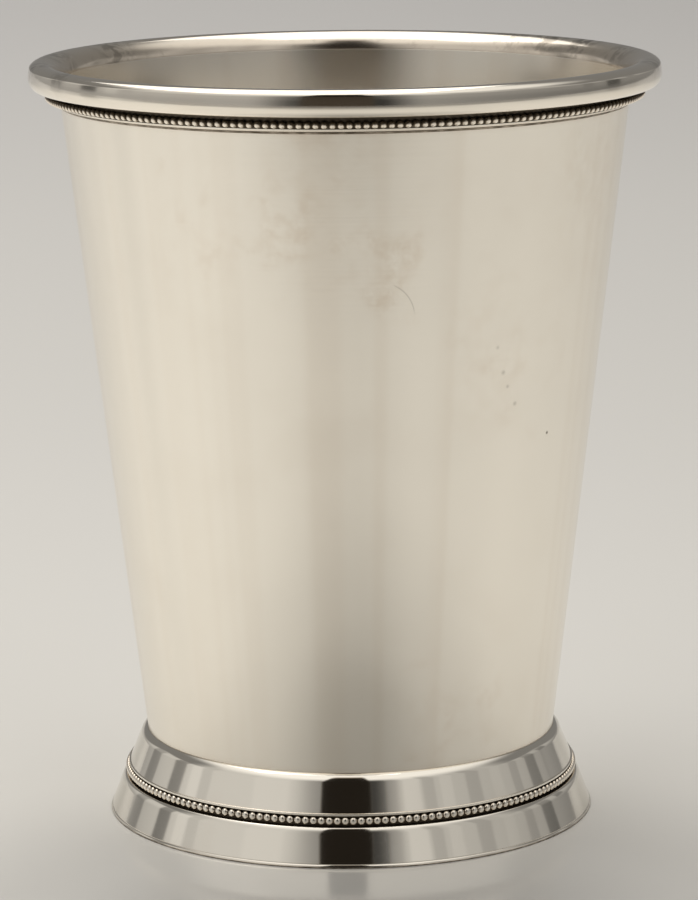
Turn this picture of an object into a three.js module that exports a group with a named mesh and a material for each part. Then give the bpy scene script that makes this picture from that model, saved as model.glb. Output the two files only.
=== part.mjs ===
// Silver julep cup: a drawn tapering shell with a rolled rim moulding and a flared foot ring soldered to it.
// Each moulding has a channel that holds a wire of small round pearls. Millimetres, +Z up, the origin on
// the table at the cup's axis.
import * as THREE from "three";

// The cup as a whole
const cupHeight = 104.9; // table to the crest of the lip
const shellMouthRadius = 39.2; // outside of the wall at its top edge
const shellBaseRadius = 27.65; // outside of the wall, drawn down to the underside of the floor
const wallThickness = 0.8;
const floorThickness = 1;
const floorHeight = 5; // table to the underside of the floor
const floorCornerRadius = 2.6; // outside bend from floor to wall
const solderFilm = 0.06; // gap that a soldered joint leaves between its two pieces

// Rim moulding: lip, neck behind the pearls, and a fillet below them
const lipOverhang = 4; // wall to the widest part of the lip
const lipHeight = 3.53; // crest of the lip to its underside
const lipWidestDrop = 2.15; // crest to the height where the lip is widest
const lipFaceHeight = 1.3; // nearly upright face above the widest part
const lipFaceLean = 0.14; // how far that face leans in by its top
const lipCrestInset = 1.75; // widest part in to the crest
const lipUnderInset = 0.8; // widest part in to the edge of the underside
const lipSeatDepth = 2.5; // crest down to the wall's top edge, which the lip covers
const neckThickness = 0.9; // metal behind the rim pearls
const rimChannelHeight = 1.77; // underside of the lip to the fillet
const rimFilletThickness = 0.5;
const rimFilletHeight = 0.4;

// Foot ring: shoulder, upper band, fillet, pearl channel, second shoulder, lower band and base edge
const footHeight = 11.8; // table to the top edge of the ring
const footTopWidth = 0.3; // flat on the top edge
const footShoulderWidth = 0.6;
const footShoulderHeight = 1.13;
const upperBandFlare = 1.58; // how far the upper band spreads on its way down
const footPearlHeight = 5.87; // table to the middle of the foot pearls
const footFilletHeight = 0.3;
const footFilletProud = 0.2; // how far the upper fillet stands out from its band
const footChannelDepth = 0.5; // upper fillet in to the metal behind the pearls
const footPearlDrop = 0.28; // open gap under the foot's pearls, down to the lower shoulder
const lowerShoulderStep = 0.8; // how far the lower band's shoulder stands outside the upper fillet
const lowerShoulderWidth = 0.35;
const lowerShoulderHeight = 0.42;
const lowerBandFlare = 1.74; // how far the lower band spreads on its way down
const baseEdgeHeight = 0.5;
const baseEdgeProud = 0.06;
const baseRestWidth = 1; // flat ring that meets the table
const footThickness = 0.8;
const footLandHeight = 1.8; // height of the land that is soldered to the wall

// Pearl wire, one stock for both rings
const pearlSize = 1.08;
const pearlPitch = 1.09;
const pearlMargin = 0.11; // open gap between the pearls and the fillet beside them
const pearlDepthShare = 0.85; // of its size, how far a pearl stands out from its flat back
const pearlWaistShare = 0.4; // of a pearl, what is left of the wire between two pearls

// Solder that shows beside the joints
const rimSolderSize = 0.3;
const footSolderSize = 0.25;

// How round the drawn curves are, and how finely they are cut
const roundShare = 0.55; // a quarter of an ellipse
const flatterShare = 0.45; // between an ellipse and a bevel
const turnSteps = 60; // facets round the axis
const bendSteps = 3; // facets along a small bend
const lipSteps = 4; // facets along each stretch of the lip
const pearlSteps = 3; // columns of facets for each pearl: one waist and two on its crown

// Heights that several pieces share
const shellTop = cupHeight - lipSeatDepth;
const lipUnderside = cupHeight - lipHeight;
const rimFilletTop = lipUnderside - rimChannelHeight;
const rimFilletBottom = rimFilletTop - rimFilletHeight;
const footChannelTop = footPearlHeight + pearlSize / 2 + pearlMargin;
const footChannelBottom = footPearlHeight - pearlSize / 2 - footPearlDrop;
const footLandBottom = footHeight - footLandHeight;

// Outside radius of the tapering wall at a height above the table
function wallRadiusAt(height) {
  const rise = (height - floorHeight) / (shellTop - floorHeight);
  return shellBaseRadius + (shellMouthRadius - shellBaseRadius) * rise;
}

// Radii that several pieces share
const lipRadius = shellMouthRadius + lipOverhang;
const neckRadius = wallRadiusAt(lipUnderside) + solderFilm + neckThickness;
const footTopRadius = wallRadiusAt(footHeight) + solderFilm + footTopWidth;
const bandTopRadius = footTopRadius + footShoulderWidth;
const bandBottomRadius = bandTopRadius + upperBandFlare;
const upperFilletRadius = bandBottomRadius + footFilletProud;
const lowerShoulderRadius = upperFilletRadius + lowerShoulderStep;
const footChannelRadius = upperFilletRadius - footChannelDepth;
const baseRadius = lowerShoulderRadius + lowerBandFlare + baseEdgeProud;

// A curve from the path's last point to another, whose two ends lean towards a corner point
function bendTo(path, cornerRadius, cornerHeight, radius, height, share = roundShare) {
  const from = path.currentPoint;
  path.bezierCurveTo(
    from.x + (cornerRadius - from.x) * share,
    from.y + (cornerHeight - from.y) * share,
    radius + (cornerRadius - radius) * share,
    height + (cornerHeight - height) * share,
    radius,
    height,
  );
}

// A solid of revolution about the upright axis, from a section drawn as radius and height
function turned(points, steps = turnSteps) {
  return new THREE.LatheGeometry(points, steps).rotateX(Math.PI / 2);
}

// The drawn shell: floor, bend and tapering wall, all from one disc of sheet
function shellGeometry() {
  const section = new THREE.Path();
  const bendTop = floorHeight + floorCornerRadius;
  const floorTop = floorHeight + floorThickness;
  const innerRadius = wallRadiusAt(floorTop) - wallThickness;
  const innerCorner = floorCornerRadius - wallThickness;
  section.moveTo(0, floorHeight);
  section.lineTo(shellBaseRadius - floorCornerRadius, floorHeight);
  bendTo(section, shellBaseRadius, floorHeight, wallRadiusAt(bendTop), bendTop);
  section.lineTo(shellMouthRadius, shellTop);
  section.lineTo(shellMouthRadius - wallThickness, shellTop);
  section.lineTo(wallRadiusAt(floorTop + innerCorner) - wallThickness, floorTop + innerCorner);
  bendTo(section, innerRadius, floorTop, innerRadius - innerCorner, floorTop);
  section.lineTo(0, floorTop);
  return turned(section.getPoints(bendSteps));
}

// The rim moulding: a rolled lip that caps the wall, and below it the neck and the fillet of the pearl channel
function rimMouldingGeometry() {
  const section = new THREE.Path();
  const seatHeight = shellTop + solderFilm;
  const bottomRadius = wallRadiusAt(rimFilletBottom) + solderFilm;
  const filletRadius = bottomRadius + rimFilletThickness;
  const throatRadius = shellMouthRadius - wallThickness;
  const widestHeight = cupHeight - lipWidestDrop;
  const faceTopRadius = lipRadius - lipFaceLean;
  section.moveTo(bottomRadius, rimFilletBottom);
  section.lineTo(filletRadius, rimFilletBottom);
  section.lineTo(filletRadius, rimFilletTop);
  section.lineTo(neckRadius, rimFilletTop);
  section.lineTo(neckRadius, lipUnderside);
  section.lineTo(lipRadius - lipUnderInset, lipUnderside);
  bendTo(section, lipRadius, lipUnderside, lipRadius, widestHeight, flatterShare);
  section.lineTo(faceTopRadius, widestHeight + lipFaceHeight);
  bendTo(section, faceTopRadius, cupHeight, lipRadius - lipCrestInset, cupHeight);
  bendTo(section, throatRadius, cupHeight, throatRadius, seatHeight);
  section.lineTo(shellMouthRadius + solderFilm, seatHeight);
  section.lineTo(bottomRadius, rimFilletBottom);
  return turned(section.getPoints(lipSteps));
}

// The foot ring: soldered round the wall at its land, flaring in two bands to the flat ring it rests on
function footRingGeometry() {
  const section = new THREE.Path();
  const innerChannelRadius = footChannelRadius - footThickness;
  const upperFilletTop = footChannelTop + footFilletHeight;
  const bandTop = footHeight - footShoulderHeight;
  const lowerBandTop = footChannelBottom - lowerShoulderHeight;
  const bandFoot = lowerShoulderRadius + lowerBandFlare;
  const shelfRadius = lowerShoulderRadius - lowerShoulderWidth;
  const innerShelfHeight = footChannelBottom - footThickness;
  const ledgeRadius = bandTopRadius - footThickness;
  section.moveTo(baseRadius - baseRestWidth, 0);
  section.lineTo(baseRadius, 0);
  section.lineTo(baseRadius, baseEdgeHeight);
  section.lineTo(bandFoot, baseEdgeHeight);
  section.lineTo(lowerShoulderRadius, lowerBandTop);
  bendTo(section, lowerShoulderRadius, footChannelBottom, shelfRadius, footChannelBottom);
  section.lineTo(footChannelRadius, footChannelBottom);
  section.lineTo(footChannelRadius, footChannelTop);
  section.lineTo(upperFilletRadius, footChannelTop);
  section.lineTo(upperFilletRadius, upperFilletTop);
  section.lineTo(bandBottomRadius, upperFilletTop);
  section.lineTo(bandTopRadius, bandTop);
  bendTo(section, bandTopRadius, footHeight, footTopRadius, footHeight);
  section.lineTo(footTopRadius - footTopWidth, footHeight);
  section.lineTo(wallRadiusAt(footLandBottom) + solderFilm, footLandBottom);
  section.lineTo(ledgeRadius, footLandBottom);
  section.lineTo(innerChannelRadius, upperFilletTop);
  section.lineTo(innerChannelRadius, innerShelfHeight);
  section.lineTo(lowerShoulderRadius - footThickness, innerShelfHeight);
  section.lineTo(baseRadius - baseRestWidth, 0);
  return turned(section.getPoints(bendSteps));
}

// A wire of round pearls with a flat back, bent into a ring: it narrows on every side between two pearls
function pearlWireGeometry(backRadius, height) {
  const depth = pearlSize * pearlDepthShare;
  const pearlCount = Math.round((2 * Math.PI * (backRadius + depth)) / pearlPitch);
  const section = [
    new THREE.Vector2(backRadius, height - pearlSize / 2),
    new THREE.Vector2(backRadius + depth, height),
    new THREE.Vector2(backRadius, height + pearlSize / 2),
    new THREE.Vector2(backRadius, height - pearlSize / 2),
  ];
  const geometry = turned(section, pearlCount * pearlSteps);
  const position = geometry.getAttribute("position");
  for (let index = 0; index < position.count; index += 1) {
    const column = Math.floor(index / section.length);
    if (column % pearlSteps === 0) {
      const radius = Math.hypot(position.getX(index), position.getY(index));
      const waistRadius = backRadius + (radius - backRadius) * pearlWaistShare;
      const waistHeight = height + (position.getZ(index) - height) * pearlWaistShare;
      position.setX(index, (position.getX(index) * waistRadius) / radius);
      position.setY(index, (position.getY(index) * waistRadius) / radius);
      position.setZ(index, waistHeight);
    }
  }
  return geometry;
}

// A small three-sided ring of solder in the corner between the wall and the level face above it
function solderGeometry(faceHeight, size) {
  const top = faceHeight - solderFilm;
  const section = [
    new THREE.Vector2(wallRadiusAt(top - size) + solderFilm, top - size),
    new THREE.Vector2(wallRadiusAt(top) + solderFilm + size, top),
    new THREE.Vector2(wallRadiusAt(top) + solderFilm, top),
    new THREE.Vector2(wallRadiusAt(top - size) + solderFilm, top - size),
  ];
  return turned(section);
}

const satinSilver = { color: 0xd6cfbe, roughness: 0.32, metalness: 1 };
const polishedSilver = { color: 0xe2dccd, roughness: 0.1, metalness: 1 };
const agedSilver = { color: 0xb9b09c, roughness: 0.28, metalness: 1 };
const greySolder = { color: 0x8b8678, roughness: 0.5, metalness: 1 };

const cup = new THREE.Group();

function addPiece(name, geometry, finish) {
  const piece = new THREE.Mesh(geometry, new THREE.MeshStandardMaterial(finish));
  piece.name = name;
  cup.add(piece);
}

const rimPearlHeight = rimFilletTop + pearlMargin + pearlSize / 2;
const rimPearlBack = neckRadius + solderFilm;
const footPearlBack = footChannelRadius + solderFilm;

addPiece("cup_body", shellGeometry(), satinSilver);
addPiece("rim_moulding", rimMouldingGeometry(), polishedSilver);
addPiece("rim_pearl_wire", pearlWireGeometry(rimPearlBack, rimPearlHeight), agedSilver);
addPiece("rim_solder_seam", solderGeometry(rimFilletBottom, rimSolderSize), greySolder);
addPiece("foot_ring", footRingGeometry(), polishedSilver);
addPiece("foot_pearl_wire", pearlWireGeometry(footPearlBack, footPearlHeight), agedSilver);
addPiece("foot_solder_seam", solderGeometry(footLandBottom, footSolderSize), greySolder);

export default cup;
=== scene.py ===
import math

import bmesh
import bpy
from mathutils import Matrix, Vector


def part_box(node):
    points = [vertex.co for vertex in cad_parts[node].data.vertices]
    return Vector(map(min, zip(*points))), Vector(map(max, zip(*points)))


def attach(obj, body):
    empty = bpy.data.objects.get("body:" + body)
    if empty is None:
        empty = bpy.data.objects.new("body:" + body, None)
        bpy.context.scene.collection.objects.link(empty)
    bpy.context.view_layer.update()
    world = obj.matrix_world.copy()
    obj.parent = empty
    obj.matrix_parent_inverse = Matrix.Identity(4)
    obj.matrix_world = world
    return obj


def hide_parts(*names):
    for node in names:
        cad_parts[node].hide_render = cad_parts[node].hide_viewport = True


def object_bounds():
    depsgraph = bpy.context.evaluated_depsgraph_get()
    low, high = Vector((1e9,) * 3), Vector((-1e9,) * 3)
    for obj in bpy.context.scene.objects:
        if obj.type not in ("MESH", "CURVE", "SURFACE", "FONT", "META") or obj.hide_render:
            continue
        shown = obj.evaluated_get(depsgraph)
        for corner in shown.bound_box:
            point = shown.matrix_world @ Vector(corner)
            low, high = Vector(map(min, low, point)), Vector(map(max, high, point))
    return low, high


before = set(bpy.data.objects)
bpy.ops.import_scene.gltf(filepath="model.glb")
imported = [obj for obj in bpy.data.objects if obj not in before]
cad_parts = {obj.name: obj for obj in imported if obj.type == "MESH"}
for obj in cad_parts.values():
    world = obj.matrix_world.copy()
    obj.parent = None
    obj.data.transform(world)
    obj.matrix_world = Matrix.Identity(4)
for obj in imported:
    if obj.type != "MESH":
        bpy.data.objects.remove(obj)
cadLow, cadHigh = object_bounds()
mm = 0.001
fullTurn = 2 * math.pi


# Highest radius, lowest and highest height of a solid, in millimetres
def reach(node):
    low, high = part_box(node)
    return high.x / mm, low.z / mm, high.z / mm


cupHeight = cadHigh.z / mm
shellRadius, shellBottom, shellTop = reach("cup_body")
lipRadius, rimBottom, _ = reach("rim_moulding")
footRadius, _, footTop = reach("foot_ring")
rimPearlRadius, rimPearlBottom, rimPearlTop = reach("rim_pearl_wire")
footPearlRadius, footPearlBottom, footPearlTop = reach("foot_pearl_wire")
rimSolderRadius, rimSolderBottom, rimSolderTop = reach("rim_solder_seam")
footSolderRadius, footSolderBottom, footSolderTop = reach("foot_solder_seam")
print("solids loaded, cup height", round(cupHeight, 1), "mm")


# Points between two ends of a curve that leans towards a corner
def bend(start, corner, end, lean=0.55, steps=10, patinaAndShade=0.0):
    first = [s + (c - s) * lean for s, c in zip(start, corner)]
    last = [e + (c - e) * lean for e, c in zip(end, corner)]
    points = []
    for step in range(1, steps):
        t = step / steps
        weights = ((1 - t) ** 3, 3 * t * (1 - t) ** 2, 3 * t * t * (1 - t), t ** 3)
        spot = [sum(w * p[i] for w, p in zip(weights, (start, first, last, end))) for i in (0, 1)]
        points.append((*spot, 0, patinaAndShade))
    return points


roundingLimit = 0.48  # the most of a side that one rounded corner takes


# A section's corners are (radius, height, rounding, patina and painted shade); each rounded corner becomes a
# small curve
def softened(corners, steps=5):
    points = []
    for index, (radius, height, rounding, patinaAndShade) in enumerate(corners):
        here = (radius, height)
        if not rounding:
            points.append((radius, height, patinaAndShade))
            continue
        ends = []
        for other in (corners[index - 1], corners[(index + 1) % len(corners)]):
            share = min(rounding / math.dist(here, other[:2]), roundingLimit)
            ends.append([own + (there - own) * share for own, there in zip(here, other)])
        points.append((*ends[0], patinaAndShade))
        points += [(r, z, patinaAndShade) for r, z, _, _ in bend(ends[0], here, ends[1], steps=steps)]
        points.append((*ends[1], patinaAndShade))
    return points


# Makes the mesh object; vertices are in millimetres, and patina with painted shade is a number for each
def newPiece(name, vertices, faces, patinaAndShade, material):
    mesh = bpy.data.meshes.new(name)
    mesh.from_pydata([[c * mm for c in v] for v in vertices], [], faces)
    mesh.attributes.new("patinaAndShade", "FLOAT", "POINT").data.foreach_set("value", patinaAndShade)
    form = bmesh.new()
    form.from_mesh(mesh)
    bmesh.ops.recalc_face_normals(form, faces=form.faces)
    form.to_mesh(mesh)
    form.free()
    mesh.polygons.foreach_set("use_smooth", [True] * len(mesh.polygons))
    mesh.materials.append(material)
    piece = bpy.data.objects.new(name, mesh)
    bpy.context.collection.objects.link(piece)
    shading = piece.modifiers.new("evenShading", "WEIGHTED_NORMAL")
    shading.keep_sharp = False
    return piece


# Turns a section of (radius, height, patina and painted shade) about the upright axis; wobble changes the
# radius at an angle
def turned(name, section, material, steps, wobble=None):
    vertices, faces, patinaAndShade, rows = [], [], [], []
    for radius, height, dark in section:
        spots = 1 if radius == 0 else steps
        rows.append([len(vertices) + spot for spot in range(spots)])
        for spot in range(spots):
            angle = fullTurn * spot / steps
            r = radius + (wobble(angle) if wobble else 0)
            vertices.append((r * math.cos(angle), r * math.sin(angle), height))
            patinaAndShade.append(dark)
    for index, row in enumerate(rows):
        after = rows[(index + 1) % len(rows)]
        if len(row) == 1 and len(after) == 1:
            continue
        for spot in range(steps):
            beside = (spot + 1) % steps
            corners = [row[spot % len(row)], row[beside % len(row)],
                       after[beside % len(after)], after[spot % len(after)]]
            faces.append(list(dict.fromkeys(corners)))
    return newPiece(name, vertices, faces, patinaAndShade, material)


# Hides the solid that a piece stands for, and hangs the piece on the root body
def standsFor(piece, node):
    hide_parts(node)
    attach(piece, "root")


# Adds a shader node; each input is given by its name or number, and is linked to a socket or set to a value
def addNode(tree, kind, inputs=None, **settings):
    made = tree.nodes.new("ShaderNode" + kind)
    for key, value in settings.items():
        setattr(made, key, value)
    for key, value in (inputs or {}).items():
        socket = made.inputs[key]
        if isinstance(value, bpy.types.NodeSocket):
            tree.links.new(value, socket)
        else:
            socket.default_value = value
    return made


def maths(tree, operation, first, second=0.0, third=0.0):
    return addNode(tree, "Math", {0: first, 1: second, 2: third}, operation=operation).outputs[0]


# Follows a value between two ends, smoothly, from one result to another
def ramp(tree, value, low, high, toLow=0.0, toHigh=1.0):
    inputs = {"Value": value, "From Min": low, "From Max": high, "To Min": toLow, "To Max": toHigh}
    return addNode(tree, "MapRange", inputs, interpolation_type="SMOOTHSTEP").outputs[0]


def mixColour(tree, share, first, second):
    mixed = addNode(tree, "Mix", data_type="RGBA")
    for index, value in ((0, share), (6, first), (7, second)):
        if isinstance(value, bpy.types.NodeSocket):
            tree.links.new(value, mixed.inputs[index])
        else:
            mixed.inputs[index].default_value = value
    return mixed.outputs[2]


# Noise over the object, with the pattern's size in millimetres along each axis
def noise(tree, place, size, detail=3.0, roughness=0.5):
    scaled = addNode(tree, "VectorMath", {0: place, 1: [1 / (s * mm) for s in size]},
                     operation="MULTIPLY").outputs[0]
    inputs = {"Vector": scaled, "Scale": 1.0, "Detail": detail, "Roughness": roughness}
    return addNode(tree, "TexNoise", inputs).outputs[0]


# Hairline marks, where stretched noise passes through its middle value
def hairlines(tree, place, turn, length, spacing, width):
    turnedPlace = addNode(tree, "VectorRotate", {"Vector": place, "Rotation": turn},
                          rotation_type="EULER_XYZ").outputs[0]
    field = noise(tree, turnedPlace, (length, spacing, spacing), detail=1.0)
    offMiddle = maths(tree, "ABSOLUTE", maths(tree, "SUBTRACT", field, 0.5))
    return ramp(tree, offMiddle, width, 0.0)


# The dull rings are (height, patina), from the foot's top and from the rim's lower edge
shell = {
    "wall": 0.8, "floor": 1.0, "baseRadius": 27.65, "corner": 2.6, "insideFilm": 0.03, "steps": 288,
    "footRing": [(-0.3, 1.0), (-0.12, 0.5), (0, 0.1), (0.9, 0.0)],
    "rimRing": [(-0.9, 0.0), (-0.12, 0.15), (0, 0.8)],
}


# The tapering wall's outer radius at a height
def wallRadius(height):
    share = (height - shellBottom) / (shellTop - shellBottom)
    return shell["baseRadius"] + (shellRadius - shell["baseRadius"]) * share


# A place in metres by azimuth in degrees from the front, radius and height
def placeAt(azimuth, radius, height):
    angle = math.radians(azimuth)
    return radius * math.sin(angle) * mm, -radius * math.cos(angle) * mm, height * mm


def onWall(azimuth, height):
    return placeAt(azimuth, wallRadius(height), height)


# Colours of the clean metal, of its tarnish and of the patina in its crevices, whose colour also serves as
# painted shade
silverLook = {
    "bright": (0.922, 0.88, 0.798, 1),
    "tarnished": (0.78, 0.69, 0.58, 1),
    "patinaAndShade": (0.085, 0.065, 0.042, 1),
}
# What patina and painted shade add to the metal, where they count as a crevice, and the patterns, sized in
# millimetres
film = {
    "tarnish": 2.2, "roughness": 0.32, "creviceFrom": 0.38, "creviceTo": 0.85, "creviceSpeckle": 0.6,
    "speckleSize": 1.4, "cloudFrom": 0.5, "cloudTo": 0.72, "mottleSize": 2.6, "mottleFrom": 0.36,
    "mottleTo": 0.64, "stainFrom": 0.42, "stainTo": 0.58, "streakSize": 170, "streakFrom": 0.5,
    "streakTo": 0.66,
}
# Soft noise that moves a place
drift = {"perMetre": 160.0, "reachMetres": 0.03}
# Faint scratches, which lie in patches, and the lines that spinning left, in millimetres
hairline = {
    "length": 30, "spacing": 2.2, "patchSize": 9, "patchFrom": 0.52, "patchTo": 0.72, "roughness": 0.03,
}
spinLine = {"length": 60, "unevenness": 0.6}
# Blotches and specks on the beaker: azimuth in degrees, height and size in millimetres, and strength; the
# last, widest blotch darkens the beaker's upper right
blotches = [(-12, 85, 10, 0.55), (8, 81, 10, 0.65), (35, 67, 12, 0.5), (24, 19, 9, 0.4),
            (36.5, 19, 8, 0.35), (-3, 97, 10, 0.4), (-30, 84, 9, 0.35), (66, 92, 24, 0.3)]
specks = [(52, 56.5, 0.35, 1.0), (36, 66, 0.5, 0.3), (37.5, 64, 0.4, 0.3), (40, 61.5, 0.5, 0.3),
          (34, 69.5, 0.4, 0.25)]
# A fine curved scratch on the beaker: its arc's centre and middle as azimuth and height, then millimetres
curvedScratch = {
    "centre": (6.4, 74.5), "middle": (12.6, 77.4), "radius": 4.85, "halfLength": 3.0, "width": 0.10,
    "strength": 0.38, "fadeFrom": 0.5,
}
# Dark worn stains on the lip: azimuth, inset and drop from its edge in millimetres, size and strength
lipStains = [(-80, 0.8, 0.6, 5, 0.55), (-62, 1.8, 0.1, 4, 0.35), (-124, 2.9, 0.8, 6, 0.45),
             (-100, 2.4, 0.5, 7, 0.4), (143, 0.9, 0.6, 6, 0.6), (133, 1.0, 0.5, 6, 0.8),
             (123, 1.3, 0.3, 6, 0.7), (105, 2.4, 0.6, 7, 0.4), (78, 1.2, 0.3, 5, 0.4)]


def awayFrom(tree, place, spot):
    return addNode(tree, "VectorMath", {0: place, 1: spot}, operation="DISTANCE").outputs["Value"]


# How strongly a set of marks shows at a place; each mark is a spot, its size and its strength
def marked(tree, place, marks):
    level = None
    for spot, size, strength in marks:
        mark = ramp(tree, awayFrom(tree, place, spot), size * mm, 0.0, 0.0, strength)
        level = mark if level is None else maths(tree, "MAXIMUM", level, mark)
    return level


# A place moved a few millimetres by soft noise, so that a round mark gets an uneven outline
def drifted(tree, place):
    inputs = {"Vector": place, "Scale": drift["perMetre"], "Detail": 2.0}
    moved = addNode(tree, "TexNoise", inputs).outputs["Color"]
    moved = addNode(tree, "VectorMath", {0: moved, 1: (0.5,) * 3}, operation="SUBTRACT").outputs[0]
    farthest = (drift["reachMetres"],) * 3
    scaled = addNode(tree, "VectorMath", {0: moved, 1: farthest}, operation="MULTIPLY").outputs[0]
    return addNode(tree, "VectorMath", {0: place, 1: scaled}, operation="ADD").outputs[0]


# The curved scratch: close to its circle, and near the arc's middle
def scratched(tree, place):
    away = awayFrom(tree, place, onWall(*curvedScratch["centre"]))
    offArc = maths(tree, "ABSOLUTE", maths(tree, "SUBTRACT", away, curvedScratch["radius"] * mm))
    line = ramp(tree, offArc, curvedScratch["width"] * mm, 0.0)
    along = awayFrom(tree, place, onWall(*curvedScratch["middle"]))
    end = curvedScratch["halfLength"] * mm
    near = ramp(tree, along, end, end * curvedScratch["fadeFrom"], 0.0, curvedScratch["strength"])
    return maths(tree, "MULTIPLY", line, near)


# Soft upright streaks, the same at every height, painted as reflections of the satin finish; their size is
# that on a circle of 1 m radius
def streaked(tree, place):
    level = addNode(tree, "VectorMath", {0: place, 1: (1, 1, 0)}, operation="MULTIPLY").outputs[0]
    around = addNode(tree, "VectorMath", {0: level}, operation="NORMALIZE").outputs[0]
    return noise(tree, around, (film["streakSize"],) * 3, detail=2.0)


# A silver finish; look holds how rough, clouded, lined, waved, scratched and pitted it is
def silver(name, look):
    material = bpy.data.materials.new(name)
    material.use_nodes = True
    tree = material.node_tree
    shader = tree.nodes["Principled BSDF"]
    shader.inputs["Metallic"].default_value = 1.0
    place = addNode(tree, "TexCoord").outputs["Object"]
    # The patina attribute holds patina in hollows and painted shade
    patinaAndShade = addNode(tree, "Attribute", attribute_name="patinaAndShade").outputs["Fac"]

    cloud = noise(tree, place, (look["cloudSize"],) * 3, detail=4.0)
    speckle = noise(tree, place, (film["speckleSize"],) * 3, detail=3.0)
    clouded = ramp(tree, cloud, film["cloudFrom"], film["cloudTo"])
    tarnish = maths(tree, "MULTIPLY", clouded, look["tarnish"])
    tarnish = maths(tree, "MULTIPLY_ADD", patinaAndShade, film["tarnish"], tarnish)
    if look["onBeaker"]:
        mottled = noise(tree, place, (film["mottleSize"],) * 3, detail=6.0, roughness=0.7)
        mottled = ramp(tree, mottled, film["mottleFrom"], film["mottleTo"])
        warped = drifted(tree, place)
        spots = [(onWall(azimuth, height), size, strength) for azimuth, height, size, strength in blotches]
        blotched = maths(tree, "MULTIPLY", marked(tree, warped, spots), mottled)
        tarnish = maths(tree, "ADD", tarnish, blotched)
        # Painted reflection: soft upright streaks in the tarnish stand for the satin finish's streaky
        # reflections
        streaks = streaked(tree, place)
        streaks = ramp(tree, streaks, film["streakFrom"], film["streakTo"], 0.0, look["streaks"])
        tarnish = maths(tree, "ADD", tarnish, streaks)
    colour = mixColour(tree, tarnish, silverLook["bright"], silverLook["tarnished"])
    broken = maths(tree, "SUBTRACT", speckle, 0.5)
    broken = maths(tree, "MULTIPLY_ADD", broken, film["creviceSpeckle"], patinaAndShade)
    crevice = maths(tree, "MULTIPLY", ramp(tree, broken, film["creviceFrom"], film["creviceTo"]),
                    look["patinaAndShadeShare"])
    if look["onBeaker"]:
        spots = [(onWall(azimuth, height), size, strength) for azimuth, height, size, strength in specks]
        crevice = maths(tree, "MAXIMUM", crevice, marked(tree, place, spots))
        crevice = maths(tree, "MAXIMUM", crevice, scratched(tree, place))
    if look["onLip"]:
        spots = [(placeAt(azimuth, lipRadius - inset, cupHeight - drop), size, strength)
                 for azimuth, inset, drop, size, strength in lipStains]
        worn = ramp(tree, speckle, film["stainFrom"], film["stainTo"])
        stained = maths(tree, "MULTIPLY", marked(tree, place, spots), worn)
        crevice = maths(tree, "MAXIMUM", crevice, stained)
    colour = mixColour(tree, crevice, colour, silverLook["patinaAndShade"])
    tree.links.new(colour, shader.inputs["Base Color"])

    scratches = None
    for turn in look["scratchTurns"]:
        line = hairlines(tree, place, turn, hairline["length"], hairline["spacing"], look["scratchWidth"])
        scratches = line if scratches is None else maths(tree, "MAXIMUM", scratches, line)
    patches = noise(tree, place, (hairline["patchSize"],) * 3, detail=2.0)
    patches = ramp(tree, patches, hairline["patchFrom"], hairline["patchTo"])
    scratches = maths(tree, "MULTIPLY", scratches, patches)

    roughness = maths(tree, "MULTIPLY_ADD", cloud, look["roughnessSwing"], look["roughness"])
    roughness = maths(tree, "MULTIPLY_ADD", scratches, hairline["roughness"], roughness)
    roughness = maths(tree, "MULTIPLY_ADD", patinaAndShade, film["roughness"], roughness)
    tree.links.new(roughness, shader.inputs["Roughness"])

    lineSize = (spinLine["length"], spinLine["length"], look["lineSpacing"])
    spun = noise(tree, place, lineSize, detail=2.0, roughness=spinLine["unevenness"])
    wave = noise(tree, place, (look["waveSize"],) * 3, detail=1.0)
    bump = None
    for height, depth in ((spun, look["lineDepth"]), (wave, look["waveDepth"]),
                          (scratches, -look["scratchDepth"]), (speckle, look["pitDepth"])):
        inputs = {"Height": height, "Strength": 1.0, "Distance": depth * mm}
        if bump is not None:
            inputs["Normal"] = bump
        bump = addNode(tree, "Bump", inputs).outputs[0]
    tree.links.new(bump, shader.inputs["Normal"])
    return material


scratchTurns = [(0.3, 0.9, 0.2), (1.2, 0.4, 1.9), (2.2, 1.1, 0.7)]
satinSilver = silver("satinSilver", {
    "roughness": 0.17, "roughnessSwing": 0.10, "cloudSize": 14, "tarnish": 0.09, "patinaAndShadeShare": 0.9,
    "lineSpacing": 0.45, "lineDepth": 0.003, "waveSize": 16, "waveDepth": 0.12,
    "onBeaker": True, "onLip": False, "streaks": 0.2,
    "scratchTurns": scratchTurns, "scratchWidth": 0.005, "scratchDepth": 0.0004, "pitDepth": 0.0006,
})
polishedSilver = silver("polishedSilver", {
    "roughness": 0.02, "roughnessSwing": 0.10, "cloudSize": 8, "tarnish": 0.12, "patinaAndShadeShare": 0.92,
    "lineSpacing": 0.3, "lineDepth": 0.001, "waveSize": 11, "waveDepth": 0.06,
    "onBeaker": False, "onLip": True,
    "scratchTurns": scratchTurns, "scratchWidth": 0.004, "scratchDepth": 0.0006, "pitDepth": 0.0003,
})
agedSilver = silver("agedSilver", {
    "roughness": 0.03, "roughnessSwing": 0.08, "cloudSize": 3, "tarnish": 0.08, "patinaAndShadeShare": 0.97,
    "lineSpacing": 0.5, "lineDepth": 0.0, "waveSize": 1.2, "waveDepth": 0.03,
    "onBeaker": False, "onLip": False,
    "scratchTurns": scratchTurns[:1], "scratchWidth": 0.01, "scratchDepth": 0.001, "pitDepth": 0.002,
})
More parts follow.
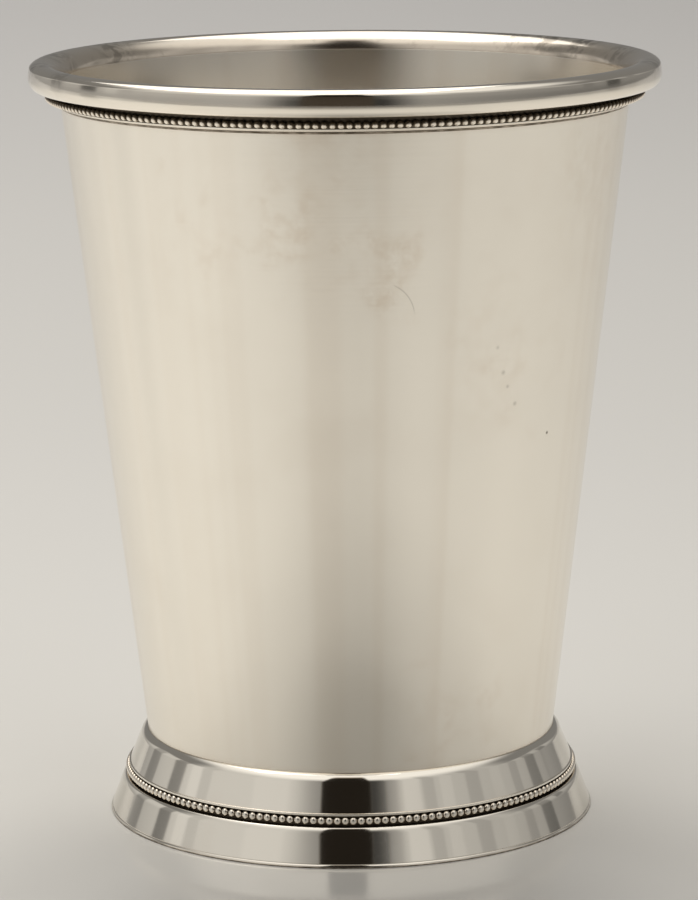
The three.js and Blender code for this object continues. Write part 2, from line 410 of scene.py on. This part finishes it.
greySolder = silver("greySolder", {
    "roughness": 0.26, "roughnessSwing": 0.2, "cloudSize": 2, "tarnish": 0.9, "patinaAndShadeShare": 0.9,
    "lineSpacing": 0.5, "lineDepth": 0.0, "waveSize": 0.8, "waveDepth": 0.08,
    "onBeaker": False, "onLip": False,
    "scratchTurns": scratchTurns[:1], "scratchWidth": 0.01, "scratchDepth": 0.001, "pitDepth": 0.004,
})
print("finishes made")


# The spun beaker, with the dull rings where the foot and the rim meet it
def makeShell():
    bottom, corner, wall = shellBottom, shell["corner"], shell["wall"]
    floorTop = bottom + shell["floor"]
    innerCorner = corner - wall
    base = shell["baseRadius"]
    bendStart, bendEnd = (base - corner, bottom), (wallRadius(bottom + corner), bottom + corner)
    inside = wallRadius(floorTop) - wall
    innerTop = (wallRadius(floorTop + innerCorner) - wall, floorTop + innerCorner)
    innerEnd = (inside - innerCorner, floorTop)
    haze = shell["insideFilm"]
    wallPoints = [(footTop + above, dark) for above, dark in shell["footRing"]]
    wallPoints += [(rimBottom + above, dark) for above, dark in shell["rimRing"]]
    outline = [(0, bottom, 0, 0.6), (*bendStart, 0, 0.7),
               *bend(bendStart, (base, bottom), bendEnd, patinaAndShade=0.8), (*bendEnd, 0, 0.9)]
    outline += [(wallRadius(z), z, 0, dark) for z, dark in wallPoints]
    outline += [(shellRadius, shellTop, 0.1, 0.6), (shellRadius - wall, shellTop, 0.02, haze)]
    outline += [(*innerTop, 0, haze), *bend(innerTop, (inside, floorTop), innerEnd, patinaAndShade=haze),
                (*innerEnd, 0, haze), (0, floorTop, 0, haze)]
    return turned("cupShell", softened(outline), satinSilver, shell["steps"])


standsFor(makeShell(), "cup_body")
print("beaker made")


# Shades are how far the dark of a corner reaches; under the lip that dark is painted shade as well as patina
rim = {
    "pearlSink": 0.06, "pearlDepthShare": 0.85, "filletStep": 0.5, "filletHeight": 0.4, "filletLean": 0.02,
    "neckShade": 0.12, "undersideDrop": 3.53, "undersideShade": 1.4, "underInset": 0.8, "underShade": 0.25,
    "underEdge": 0.08, "widestDrop": 2.15, "faceHeight": 1.3, "faceLean": 0.14, "faceSteps": 14,
    "crestInset": 1.75, "crestLean": 0.12, "crestSteps": 18, "gap": 0.06, "lap": 0.35,
    "lapClearance": 0.015, "throatEdge": 0.04, "throatFilm": 0.36, "faceFilm": 0.10, "steps": 320,
}


# The rolled lip with its neck, and the small fillet under the pearls
def makeRimMoulding():
    bottomRadius = wallRadius(rimBottom) + rim["gap"]
    filletRadius = bottomRadius + rim["filletStep"]
    filletTop = rimBottom + rim["filletHeight"]
    neck = rimPearlRadius - (rimPearlTop - rimPearlBottom) * rim["pearlDepthShare"] - rim["pearlSink"]
    underside = cupHeight - rim["undersideDrop"]
    under = (lipRadius - rim["underInset"], underside)
    widest = (lipRadius, cupHeight - rim["widestDrop"])
    faceMiddle = (lipRadius - rim["faceLean"] * 0.3, widest[1] + rim["faceHeight"] * 0.5)
    faceTop = (lipRadius - rim["faceLean"], widest[1] + rim["faceHeight"])
    crest = (lipRadius - rim["crestInset"], cupHeight)
    throat = (shellRadius - shell["wall"] - rim["lapClearance"], shellTop - rim["lap"])
    seat = (shellRadius + rim["gap"], shellTop - rim["lap"])
    face, dulled, steps = rim["faceFilm"], rim["throatFilm"], rim["crestSteps"]
    inward = bend(crest, (throat[0], cupHeight), throat, steps=steps)
    inward = [(r, z, 0, face + (dulled - face) * min(step / (steps / 2), 1))
              for step, (r, z, _, _) in enumerate(inward)]
    outline = [
        (bottomRadius, rimBottom, 0.06, 0.8), (filletRadius, rimBottom, 0.12, 0.25),
        (filletRadius + rim["filletLean"], filletTop, 0.12, 0.1),
        # Painted shade: the fillet's top by the neck, the neck and the lip's underside are dark as the shade
        # under the lip, with patina in the recess
        (neck + rim["neckShade"], filletTop, 0, 0.2), (neck, filletTop, 0.06, 0.85),
        (neck, underside, 0.25, 0.85), (neck + rim["undersideShade"], underside, 0, 0.78),
        (under[0] - rim["underShade"], underside, 0, 0.74),
        (under[0] - rim["underEdge"], underside, 0, 0.1), (*under, 0.1, face),
        *bend(under, (lipRadius, underside), widest, 0.5, rim["faceSteps"], face), (*widest, 0, face),
        (*faceMiddle, 0.3, face), (*faceTop, 0.3, face),
        *bend(faceTop, (faceTop[0] - rim["crestLean"], cupHeight), crest, steps=steps, patinaAndShade=face),
        (*crest, 0, face), *inward, (throat[0], throat[1] + rim["throatEdge"], 0, dulled),
        (*throat, 0, 1.0), (*seat, 0.05, 1.0),
    ]
    return turned("rimMoulding", softened(outline), polishedSilver, rim["steps"])


standsFor(makeRimMoulding(), "rim_moulding")
print("rim moulding made")


# Creases and shades are how far the dark of a corner reaches along its sides; in the channel that dark is
# patina, and on the shelf under the pearls it is painted shade as well
foot = {
    "shoulderWidth": 0.6, "shoulderHeight": 1.13, "topWidth": 0.3, "topDrop": 0.07, "topTilt": 0.4,
    "flare": 1.58, "filletProud": 0.2, "filletHeight": 0.3, "channelDepth": 0.5, "lowerStep": 0.8,
    "lowerShoulderWidth": 0.35, "lowerShoulderHeight": 0.8, "lowerTilt": 0.3, "lowerLean": 0.16,
    "edgeHeight": 0.5, "edgeInset": 0.2, "grooveDepth": 0.012, "pearlMargin": 0.11,
    "pearlDrop": 0.28, "restWidth": 1.0, "thickness": 0.8, "land": 1.8, "landLap": 0.2, "landStep": 0.56,
    "seamDrop": 0.4, "bite": 0.01, "gap": 0.06, "crease": 0.06, "creaseIn": 0.03, "creaseUp": 0.08,
    "channelShade": 0.1, "shelfShade": 0.3, "shelfEdge": 0.08, "baseLean": 0.06, "baseTop": 0.26,
    "baseEdge": 0.1, "baseRound": 0.04, "shoulderSteps": 16, "steps": 288,
}


# A rounded shoulder from a start that tilts down outwards to an end that lies on a band's slope
def shoulderBend(start, tilt, end, slope):
    cornerHeight = (start[1] - tilt * (end[0] - start[0]) - tilt * slope * end[1]) / (1 - tilt * slope)
    corner = (end[0] - slope * (cornerHeight - end[1]), cornerHeight)
    return bend(start, corner, end, steps=foot["shoulderSteps"])


# The foot: shoulder, upper band, channel for the pearls, second shoulder, lower band and a thin base edge
def makeFootRing():
    channelTop = footPearlTop + foot["pearlMargin"]
    channelBottom = footPearlBottom - foot["pearlDrop"]
    innerRadius = wallRadius(footTop) + foot["gap"]
    topRadius = innerRadius + foot["topWidth"]
    shoulder = (topRadius + foot["shoulderWidth"], footTop - foot["shoulderHeight"])
    bandRadius = shoulder[0] + foot["flare"]
    filletRadius = bandRadius + foot["filletProud"]
    filletTop = channelTop + foot["filletHeight"]
    lowerRadius = filletRadius + foot["lowerStep"]
    channelRadius = filletRadius - foot["channelDepth"]
    shelf = (lowerRadius - foot["lowerShoulderWidth"], channelBottom)
    bandTop = (lowerRadius + foot["lowerLean"], channelBottom - foot["lowerShoulderHeight"])
    bandEnd = (footRadius - foot["edgeInset"], foot["edgeHeight"])
    landRadius = innerRadius - foot["landLap"]
    joint = (wallRadius(footTop) - foot["bite"], footTop - foot["topDrop"])
    upperSlope = foot["flare"] / (shoulder[1] - filletTop)
    lowerSlope = (bandEnd[0] - bandTop[0]) / (bandTop[1] - bandEnd[1])
    groove, crease = foot["grooveDepth"], foot["crease"]
    creaseIn, creaseUp = foot["creaseIn"], foot["creaseUp"]
    outline = [
        (*joint, 0, 0.35), (joint[0] + crease, joint[1] - crease * foot["topTilt"], 0, 0.1),
        *shoulderBend(joint, foot["topTilt"], shoulder, upperSlope)[2:], (*shoulder, 0, 0),
        (bandRadius - creaseIn, filletTop + creaseUp, 0, 0), (bandRadius, filletTop, 0.03, 0.3),
        (bandRadius + crease, filletTop, 0, 0), (filletRadius, filletTop, 0.08, 0),
        (filletRadius, channelTop + crease, 0, 0), (filletRadius, channelTop, 0.03, 0.3),
        (filletRadius - foot["channelShade"], channelTop, 0, 0.9), (channelRadius, channelTop, 0.06, 1.0),
        # Painted shade: the shelf under the pearls is darkened as the shade below them, on top of patina in
        # the channel
        (channelRadius, channelBottom, 0.06, 1.0), (shelf[0] - foot["shelfShade"], channelBottom, 0, 0.9),
        (shelf[0] - foot["shelfEdge"], channelBottom, 0, 0.4), (*shelf, 0, 0),
        *shoulderBend(shelf, foot["lowerTilt"], bandTop, lowerSlope), (*bandTop, 0, 0),
        (bandEnd[0] - creaseIn, bandEnd[1] + creaseUp, 0, 0), (*bandEnd, 0, 0.12),
        (bandEnd[0] - groove, bandEnd[1] - groove, 0, 0.3),
        (bandEnd[0] + 2 * groove, bandEnd[1] - 3 * groove, 0, 0.05),
        (footRadius - foot["baseLean"], foot["baseTop"], 0, 0.05),
        # Painted shade: the dark on the foot's lowest edge stands for its contact shadow on the floor
        (footRadius, foot["baseEdge"], 0.04, 0.7), (footRadius - foot["baseRound"], 0, 0.03, 0.9),
        (footRadius - foot["restWidth"], 0, 0.1, 0.3),
        (lowerRadius - foot["thickness"], channelBottom - foot["thickness"], 0.3, 0.45),
        (channelRadius - foot["thickness"], channelBottom - foot["thickness"], 0.3, 0.45),
        (channelRadius - foot["thickness"], filletTop, 0.3, 0.45),
        (landRadius + foot["landStep"], footTop - foot["land"], 0.2, 0.8),
        (landRadius, footTop - foot["land"], 0.1, 0.9), (innerRadius, footTop - foot["seamDrop"], 0, 0.9),
    ]
    return turned("footRing", softened(outline), polishedSilver, foot["steps"])


standsFor(makeFootRing(), "foot_ring")
print("foot made")


pearls = {
    "pitch": 1.09, "waist": 0.32, "depthShare": 0.85, "columns": 8, "sides": 14, "fullness": 0.96,
    "shadeFrom": -0.15, "shadeTo": 0.55, "squareness": 0.85,
    # The rim wire's dark tops and wider dark waists are painted shade under the lip; the foot wire's dark
    # waists are patina
    "rim": {"shade": 1.2, "waistPatinaAndShade": 2.4, "swellPatinaAndShade": 2.35},
    "foot": {"shade": 0.0, "waistPatinaAndShade": 1.4, "swellPatinaAndShade": 1.5},
}


# A ring of small pearls drawn from one wire; each swells and draws in to a waist, and look says how dark the
# waists and the tops are: the waists and backs hold patina, and the rim wire's dark tops and wider dark
# waists are painted shade under the lip
def makePearlWire(name, outerRadius, bottom, top, look, node):
    wire = top - bottom
    halfDepth, halfHeight = wire * pearls["depthShare"] / 2, wire / 2
    middleRadius, middleHeight = outerRadius - halfDepth, (top + bottom) / 2
    count = round(fullTurn * outerRadius / pearls["pitch"])
    columns, sides = pearls["columns"], pearls["sides"]
    vertices, faces, patinaAndShade = [], [], []
    for column in range(count * columns):
        pearl, step = divmod(column, columns)
        swell = math.sin(math.pi * step / columns)
        along = (1 - math.cos(math.pi * step / columns)) / 2
        size = max(swell * pearls["fullness"], pearls["waist"])
        angle = fullTurn * (pearl + along) / count
        for side in range(sides):
            turn = fullTurn * side / sides
            out, up = [math.copysign(abs(part) ** pearls["squareness"], part)
                       for part in (math.cos(turn), math.sin(turn))]
            r = middleRadius + halfDepth * size * out
            z = middleHeight + halfHeight * size * up
            vertices.append((r * math.cos(angle), r * math.sin(angle), z))
            back = 0.5 - 0.5 * math.cos(turn)
            # Painted shade on the pearls' tops, as under the lip
            upper = (math.sin(turn) - pearls["shadeFrom"]) / (pearls["shadeTo"] - pearls["shadeFrom"])
            upper = min(max(upper, 0), 1) * look["shade"]
            waist = look["waistPatinaAndShade"] - swell * look["swellPatinaAndShade"]
            patinaAndShade.append(max(waist, back, 0) + upper)
    for column in range(count * columns):
        after = (column + 1) % (count * columns)
        for side in range(sides):
            beside = (side + 1) % sides
            faces.append([column * sides + side, column * sides + beside,
                          after * sides + beside, after * sides + side])
    piece = newPiece(name, vertices, faces, patinaAndShade, agedSilver)
    standsFor(piece, node)


makePearlWire("rimPearls", rimPearlRadius, rimPearlBottom, rimPearlTop, pearls["rim"], "rim_pearl_wire")
makePearlWire("footPearls", footPearlRadius, footPearlBottom, footPearlTop, pearls["foot"],
              "foot_pearl_wire")
print("pearl wires made")


solder = {"hollow": 0.3, "faceInset": 0.08, "unevenness": 0.02, "waves": (7, 17, 31, 53), "steps": 240}


# A run of solder with a hollow face and a slightly uneven edge
def makeSolder(name, radius, bottom, top, node):
    inner = radius - (top - bottom)

    def wobble(angle):
        waves = solder["waves"]
        wave = sum(math.sin(angle * count + count) for count in waves) / len(waves)
        return wave * solder["unevenness"]

    corner = (inner + solder["faceInset"], top - solder["faceInset"])
    outline = [(inner, top, 0, 1.0), (radius, top, 0.03, 1.0),
               *bend((radius, top), corner, (inner, bottom), solder["hollow"], 6, 0.7),
               (inner, bottom, 0.03, 1.0)]
    piece = turned(name, softened(outline), greySolder, solder["steps"], wobble)
    standsFor(piece, node)


makeSolder("rimSolder", rimSolderRadius - solder["unevenness"], rimSolderBottom, rimSolderTop,
           "rim_solder_seam")
makeSolder("footSolder", footSolderRadius - solder["unevenness"], footSolderBottom, footSolderTop,
           "foot_solder_seam")
print("solder made")


# Painted light and shade: near is lighter round the cup; far, front, the right and the streak are painted
# shade
floor = {
    "radius": 3.0, "near": (0.98, 0.965, 0.93, 1), "middle": (0.95, 0.935, 0.905, 1),
    "far": (0.90, 0.885, 0.88, 1), "middleAt": 0.3, "farAt": 1.35,
    "front": (0.60, 0.585, 0.56, 1), "frontFrom": 0.21, "frontTo": 0.45,
    "rightDimming": 0.11, "rightFrom": -0.15, "rightTo": 0.25,
    "roughness": 0.14, "grainSize": 0.8, "grainDepth": 0.004,
    "streakFrom": -20.0, "streakTo": -14.0, "streakEnd": 60.0, "streakLevel": 0.97,
}
# Round painted shadows on the sheet in front of the cup: middle, where each starts and ends, and its level
paintedShadows = [((0.003, -0.060, 0), 0.012, 0.046, 0.71), ((0.003, -0.062, 0), 0.045, 0.085, 0.84),
          ((0, -0.25, 0), 0.17, 0.25, 0.92)]


# A wide pale sheet whose paint holds painted light and shade: it is greyer at the back, the front and the
# right, and close in front of the cup
def makeFloor():
    material = bpy.data.materials.new("paleSheet")
    material.use_nodes = True
    tree = material.node_tree
    shader = tree.nodes["Principled BSDF"]
    place = addNode(tree, "TexCoord").outputs["Object"]
    depth = addNode(tree, "SeparateXYZ", {0: place}).outputs["Y"]
    # Painted light and shade: the near colour is lighter round the cup; the paint greys further back, far in
    # front and to the right
    behind = ramp(tree, depth, 0.0, floor["middleAt"])
    far = ramp(tree, depth, floor["middleAt"], floor["farAt"])
    ahead = ramp(tree, depth, -floor["frontFrom"], -floor["frontTo"])
    colour = mixColour(tree, behind, floor["near"], floor["middle"])
    colour = mixColour(tree, far, colour, floor["far"])
    colour = mixColour(tree, ahead, colour, floor["front"])
    across = addNode(tree, "SeparateXYZ", {0: place}).outputs["X"]
    level = ramp(tree, across, floor["rightFrom"], floor["rightTo"], 1.0, 1.0 - floor["rightDimming"])
    # Painted shadows in front of the cup
    for middle, start, end, shadeLevel in paintedShadows:
        shade = ramp(tree, awayFrom(tree, place, middle), start, end, shadeLevel, 1.0)
        level = maths(tree, "MULTIPLY", level, shade)
    # Painted shade: a faint darker wedge to the front right
    azimuth = maths(tree, "DEGREES", maths(tree, "ARCTAN2", across, maths(tree, "MULTIPLY", depth, -1.0)))
    leftEnd = ramp(tree, azimuth, floor["streakFrom"], floor["streakTo"])
    rightEnd = ramp(tree, azimuth, floor["streakTo"], floor["streakEnd"], 1.0, 0.0)
    streak = maths(tree, "MULTIPLY", leftEnd, rightEnd)
    level = maths(tree, "MULTIPLY", level, ramp(tree, streak, 0.0, 1.0, 1.0, floor["streakLevel"]))
    tree.links.new(mixColour(tree, level, (0, 0, 0, 1), colour), shader.inputs["Base Color"])
    shader.inputs["Roughness"].default_value = floor["roughness"]
    grain = noise(tree, place, (floor["grainSize"],) * 3, detail=2.0)
    bump = addNode(tree, "Bump", {"Height": grain, "Strength": 1.0, "Distance": floor["grainDepth"] * mm})
    tree.links.new(bump.outputs[0], shader.inputs["Normal"])
    form = bmesh.new()
    bmesh.ops.create_circle(form, cap_ends=True, segments=96, radius=floor["radius"])
    mesh = bpy.data.meshes.new("floorSheet")
    form.to_mesh(mesh)
    form.free()
    mesh.materials.append(material)
    sheet = bpy.data.objects.new("floorSheet", mesh)
    bpy.context.collection.objects.link(sheet)


makeFloor()


tent = {
    "pale": (1.0, 0.97, 0.92, 1), "horizon": 0.28, "walls": 0.51, "roof": 0.98, "back": -0.06,
    "leftMore": 0.10, "wallsFrom": 0, "wallsTo": 17, "wallsTilt": 7, "roofFrom": 34, "roofTo": 58,
    "gapLeft": -16.2, "gapRight": 10.5, "gapSoft": 0.5, "gapLevel": 0.015, "gapLow": 0.055,
    "gapLowFrom": 24, "gapLowTo": 8, "gapTop": 60, "gapTopSoft": 14, "gapTint": (1.0, 0.80, 0.60, 1),
    "hemWidth": 20, "hemLevel": 0.30, "lowest": 0.04, "seenLevel": 0.43,
    "foldSharp": 0.7, "foldFootSoft": 6, "foldHeadSoft": 10,
    "duskSide": 20, "duskBack": -1, "duskFrom": 0.5, "duskTo": 0.95, "duskFootSoft": 4.0, "duskHead": 36,
    "duskHeadSoft": 14, "duskFadeFrom": -0.1, "duskFadeTo": 0.25, "duskLevel": 0.20,
}
# Upright folds in the tent's cloth: middle azimuth and half width in degrees, how much lighter each is, and
# the elevations that it runs between
folds = [(-128, 5.2, -0.20, 4, 16), (-105, 5.4, -0.33, 5, 18), (-92.5, 4, 0.08, 5, 20),
         (-85, 4, -0.08, 10, 30), (-45, 12, 0.04, 20, 42), (15, 5, -0.10, 24, 42), (16, 12, -0.10, 24, 42),
         (34, 6, 0.09, 20, 42), (44, 4, -0.08, 20, 42), (54, 4, 0.05, 20, 42), (70, 5, -0.09, 18, 40),
         (85, 4, 0.03, 16, 30), (98, 3.5, -0.08, 8, 20), (112.5, 5, -0.16, 4, 16),
         (127, 4.4, -0.19, 10, 14)]


# A pale light tent all round, with a dark upright opening in front and a dusky low part behind
def makeTent():
    world = bpy.data.worlds.new("lightTent")
    bpy.context.scene.world = world
    world.use_nodes = True
    tree = world.node_tree
    background = tree.nodes["Background"]
    direction = addNode(tree, "TexCoord").outputs["Generated"]
    x, y, z = addNode(tree, "SeparateXYZ", {0: direction}).outputs
    azimuth = maths(tree, "DEGREES", maths(tree, "ARCTAN2", x, maths(tree, "MULTIPLY", y, -1.0)))
    elevation = maths(tree, "DEGREES", maths(tree, "ARCSINE", z))
    soft = tent["gapSoft"]
    leftOf = ramp(tree, azimuth, tent["gapLeft"] + soft, tent["gapLeft"] - soft)
    rightOf = ramp(tree, azimuth, tent["gapRight"] - soft, tent["gapRight"] + soft)
    above = ramp(tree, elevation, tent["gapTop"], tent["gapTop"] + tent["gapTopSoft"])
    outside = maths(tree, "MAXIMUM", maths(tree, "MAXIMUM", leftOf, rightOf), above)
    tilted = maths(tree, "MULTIPLY_ADD", y, tent["wallsTilt"], elevation)
    walls = ramp(tree, tilted, tent["wallsFrom"], tent["wallsTo"], tent["horizon"], tent["walls"])
    level = ramp(tree, elevation, tent["roofFrom"], tent["roofTo"], 0.0, tent["roof"] - tent["walls"])
    level = maths(tree, "ADD", level, walls)
    level = maths(tree, "MULTIPLY_ADD", x, -tent["leftMore"], level)
    level = maths(tree, "MULTIPLY_ADD", y, tent["back"], level)
    upright = ramp(tree, elevation, tent["roofFrom"], tent["roofTo"], 1.0, 0.0)
    for middle, halfWidth, change, low, high in folds:
        aside = maths(tree, "ABSOLUTE", maths(tree, "SUBTRACT", azimuth, middle))
        fold = ramp(tree, aside, halfWidth, halfWidth * tent["foldSharp"], 0.0, change)
        lowEnd = ramp(tree, elevation, low - tent["foldFootSoft"], low)
        highEnd = ramp(tree, elevation, high, high + tent["foldHeadSoft"], 1.0, 0.0)
        fold = maths(tree, "MULTIPLY", maths(tree, "MULTIPLY", fold, lowEnd), highEnd)
        level = maths(tree, "ADD", fold, level)
    gapMiddle = (tent["gapLeft"] + tent["gapRight"]) / 2
    beside = maths(tree, "ABSOLUTE", maths(tree, "SUBTRACT", azimuth, gapMiddle))
    beside = maths(tree, "SUBTRACT", beside, tent["gapRight"] - gapMiddle)
    hem = maths(tree, "MULTIPLY", ramp(tree, beside, tent["hemWidth"], 0.0), upright)
    level = maths(tree, "MULTIPLY_ADD", hem, -tent["hemLevel"], level)
    glossy, seen = [addNode(tree, "LightPath").outputs[name] for name in ("Is Glossy Ray", "Is Camera Ray")]
    duskFoot = ramp(tree, y, tent["duskFrom"], tent["duskTo"], tent["duskSide"], tent["duskBack"])
    dusk = ramp(tree, maths(tree, "SUBTRACT", elevation, duskFoot), 0.0, tent["duskFootSoft"])
    duskEnd = ramp(tree, elevation, tent["duskHead"], tent["duskHead"] + tent["duskHeadSoft"], 1.0, 0.0)
    dusk = maths(tree, "MULTIPLY", dusk, duskEnd)
    behind = ramp(tree, y, tent["duskFadeFrom"], tent["duskFadeTo"])
    dusk = maths(tree, "MULTIPLY", dusk, maths(tree, "MULTIPLY", behind, glossy))
    level = maths(tree, "MULTIPLY_ADD", dusk, maths(tree, "SUBTRACT", tent["duskLevel"], level), level)
    level = maths(tree, "MAXIMUM", level, tent["lowest"])
    inside = ramp(tree, elevation, tent["gapLowFrom"], tent["gapLowTo"], tent["gapLevel"], tent["gapLow"])
    strength = maths(tree, "MULTIPLY_ADD", outside, maths(tree, "SUBTRACT", level, inside), inside)
    strength = ramp(tree, seen, 0.0, 1.0, strength, tent["seenLevel"])
    tint = mixColour(tree, maths(tree, "MAXIMUM", outside, seen), tent["gapTint"], tent["pale"])
    tree.links.new(tint, background.inputs["Color"])
    tree.links.new(strength, background.inputs["Strength"])


makeTent()


lamp = {"width": 1.4, "depth": 2.2, "height": 1.6, "side": -0.28, "behind": 0.85, "level": 1.21}


# A broad soft lamp overhead, a little behind the cup
def makeLamp():
    data = bpy.data.lights.new("overheadLamp", "AREA")
    data.shape = "RECTANGLE"
    data.size, data.size_y = lamp["width"], lamp["depth"]
    data.energy = lamp["level"] * math.pi * lamp["width"] * lamp["depth"]
    data.color = tent["pale"][:3]
    light = bpy.data.objects.new("overheadLamp", data)
    light.location = (lamp["side"], lamp["behind"], lamp["height"])
    bpy.context.collection.objects.link(light)


makeLamp()
print("floor and light made")


# In millimetres and degrees
cameraStand = {
    "side": 0.12, "back": 559.9, "height": 159.06, "tilt": 10.991, "roll": -0.5, "lens": 164.13,
    "nearest": 10,
}


# Stands where the photograph was taken from
def makeCamera():
    data = bpy.data.cameras.new("camera")
    data.lens = cameraStand["lens"]
    data.clip_start = cameraStand["nearest"] * mm
    camera = bpy.data.objects.new("camera", data)
    bpy.context.collection.objects.link(camera)
    place = [cameraStand["side"] * mm, -cameraStand["back"] * mm, cameraStand["height"] * mm]
    tilt = Matrix.Rotation(math.radians(90 - cameraStand["tilt"]), 4, "X")
    roll = Matrix.Rotation(math.radians(cameraStand["roll"]), 4, "Z")
    camera.matrix_world = Matrix.Translation(place) @ tilt @ roll
    bpy.context.scene.camera = camera


makeCamera()
bpy.context.scene.view_settings.view_transform = "Standard"
